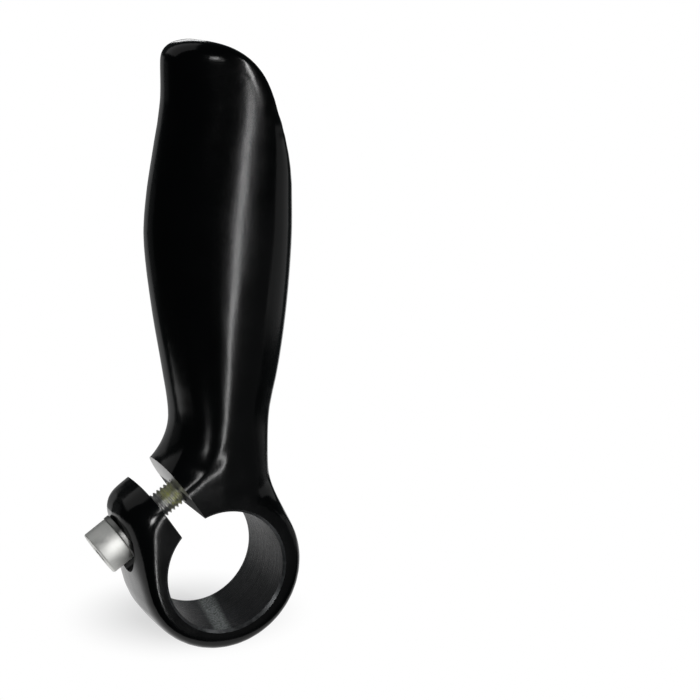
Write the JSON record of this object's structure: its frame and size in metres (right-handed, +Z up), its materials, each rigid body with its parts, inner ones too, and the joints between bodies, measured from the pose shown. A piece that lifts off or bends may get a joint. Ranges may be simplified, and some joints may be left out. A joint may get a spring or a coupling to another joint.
{
  "type": "bar end",
  "caption": "Cast bar-end grip with a curved palm swell, rising from a split clamp ring that one socket screw pinches on to the end of a handlebar.",
  "frame": {"origin": "centre of the clamp's bore, half way along it", "axes": "+Y along the handlebar, +Z up along the grip, the split and its screw towards -X"},
  "size_m": [0.0397, 0.02, 0.1111],
  "materials": {
    "body_paint": "satin black paint over cast aluminium",
    "screw_steel": "satin zinc-plated steel",
    "washer_steel": "satin zinc-plated steel"
  },
  "bodies": {
    "root": {"body": "body_paint", "clamp_bolt": "screw_steel", "washer": "washer_steel"}
  },
  "joints": []
}
